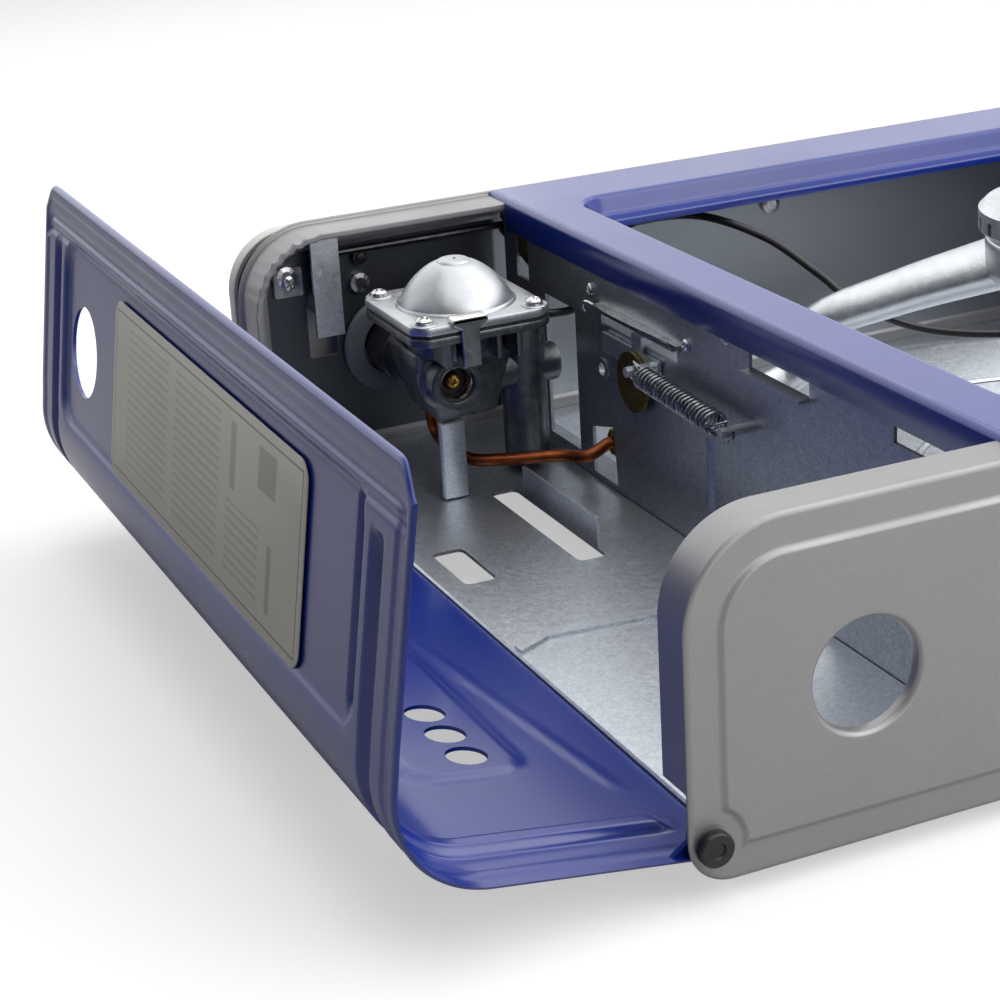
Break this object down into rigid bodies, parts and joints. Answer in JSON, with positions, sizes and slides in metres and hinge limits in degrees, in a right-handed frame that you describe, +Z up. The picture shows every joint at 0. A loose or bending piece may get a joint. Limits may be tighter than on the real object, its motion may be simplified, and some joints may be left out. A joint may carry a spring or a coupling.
{
  "type": "portable gas stove",
  "caption": "Low table stove with a well for the burner, a bay for a gas cartridge under a hinged lid standing open, a regulator, a knob and a lock lever.",
  "frame": {"origin": "centre of the bounding box's bottom, on the plane the feet stand on", "axes": "+X to the user's right, across the cartridge bay; +Y to the back; +Z up; stored with the lid open"},
  "size_m": [0.4048, 0.3222, 0.1117],
  "materials": {
    "black_plastic": "black moulded plastic",
    "blue_paint": "gloss blue paint on pressed steel",
    "brass": "turned brass",
    "cast_aluminium": "bare cast aluminium",
    "ceramic": "white ceramic",
    "copper": "drawn copper",
    "galvanised": "galvanised sheet steel",
    "grey_paint": "silver-grey paint on pressed steel",
    "grey_plastic": "grey moulded plastic",
    "label_cream": "plain printed label, left blank",
    "light_paint": "light grey paint on pressed steel",
    "rubber": "black rubber",
    "steel": "bright plated steel",
    "yellow_zinc": "yellow zinc plate",
    "zinc_cast": "bare die-cast zinc alloy"
  },
  "bodies": {
    "body": {"back_panel": "grey_paint", "bay_floor": "galvanised", "bottom_pan": "galvanised", "burner_body": "cast_aluminium", "burner_bracket": "galvanised", "burner_cap": "cast_aluminium", "cartridge_guide": "steel", "cover_screw_a": "steel", "cover_screw_b": "steel", "cover_screw_c": "steel", "cover_screw_d": "steel", "crank_stud": "steel", "fascia_screw_a": "steel", "fascia_screw_b": "steel", "fascia_screw_c": "steel", "fascia_screw_d": "steel", "foot_back_left": "rubber", "foot_back_right": "rubber", "foot_front_left": "rubber", "foot_front_right": "rubber", "front_fascia": "light_paint", "front_panel": "grey_paint", "gas_pipe": "copper", "heat_shield": "galvanised", "hinge_pin_front": "black_plastic", "hinge_pin_rear": "black_plastic", "igniter_unit": "black_plastic", "ignition_electrode": "ceramic", "ignition_wire": "rubber", "inlet_nozzle": "brass", "inlet_seal": "rubber", "jet_holder": "brass", "knob_bezel": "grey_plastic", "partition": "galvanised", "regulator_body": "zinc_cast", "regulator_cover": "zinc_cast", "regulator_gasket": "rubber", "regulator_post": "galvanised", "top_plate": "blue_paint"},
    "lid": {"lid": "blue_paint", "lid_label": "label_cream"},
    "knob": {"knob": "black_plastic", "knob_spindle": "steel"},
    "lever": {"lock_lever": "black_plastic", "lever_plate": "galvanised", "lever_bar": "steel"},
    "crank": {"bell_crank": "yellow_zinc"},
    "catch": {"catch_slider": "galvanised", "catch_disc": "yellow_zinc", "pull_rod": "steel", "catch_spring": "steel"}
  },
  "joints": [
    {"name": "lid_hinge", "type": "hinge", "parent": "body", "child": "lid", "pos_m": [0.13262, 0.01325, 0.0152], "axis": [0, 1, 0], "range_deg": [-81.4, 0]},
    {"name": "knob_turn", "type": "hinge", "parent": "body", "child": "knob", "pos_m": [0.08862, -0.14075, 0.043], "axis": [0, 1, 0], "range_deg": [-90, 0]},
    {"name": "lever_slide", "type": "slide", "parent": "body", "child": "lever", "axis": [0, 0, 1], "range_m": [-0.016, 0]},
    {"name": "crank_turn", "type": "hinge", "parent": "body", "child": "crank", "pos_m": [0.04862, -0.09975, 0.0685], "axis": [1, 0, 0], "range_deg": [0, 34.21]},
    {"name": "catch_slide", "type": "slide", "parent": "body", "child": "catch", "axis": [0, 1, 0], "range_m": [-0.00648, 0], "deforming": ["catch_spring"]}
  ],
  "couplings": [
    {"joint": "crank_turn", "follows": "lever_slide", "rad_per_m": -37.312},
    {"joint": "catch_slide", "follows": "lever_slide", "ratio": 0.40437}
  ]
}
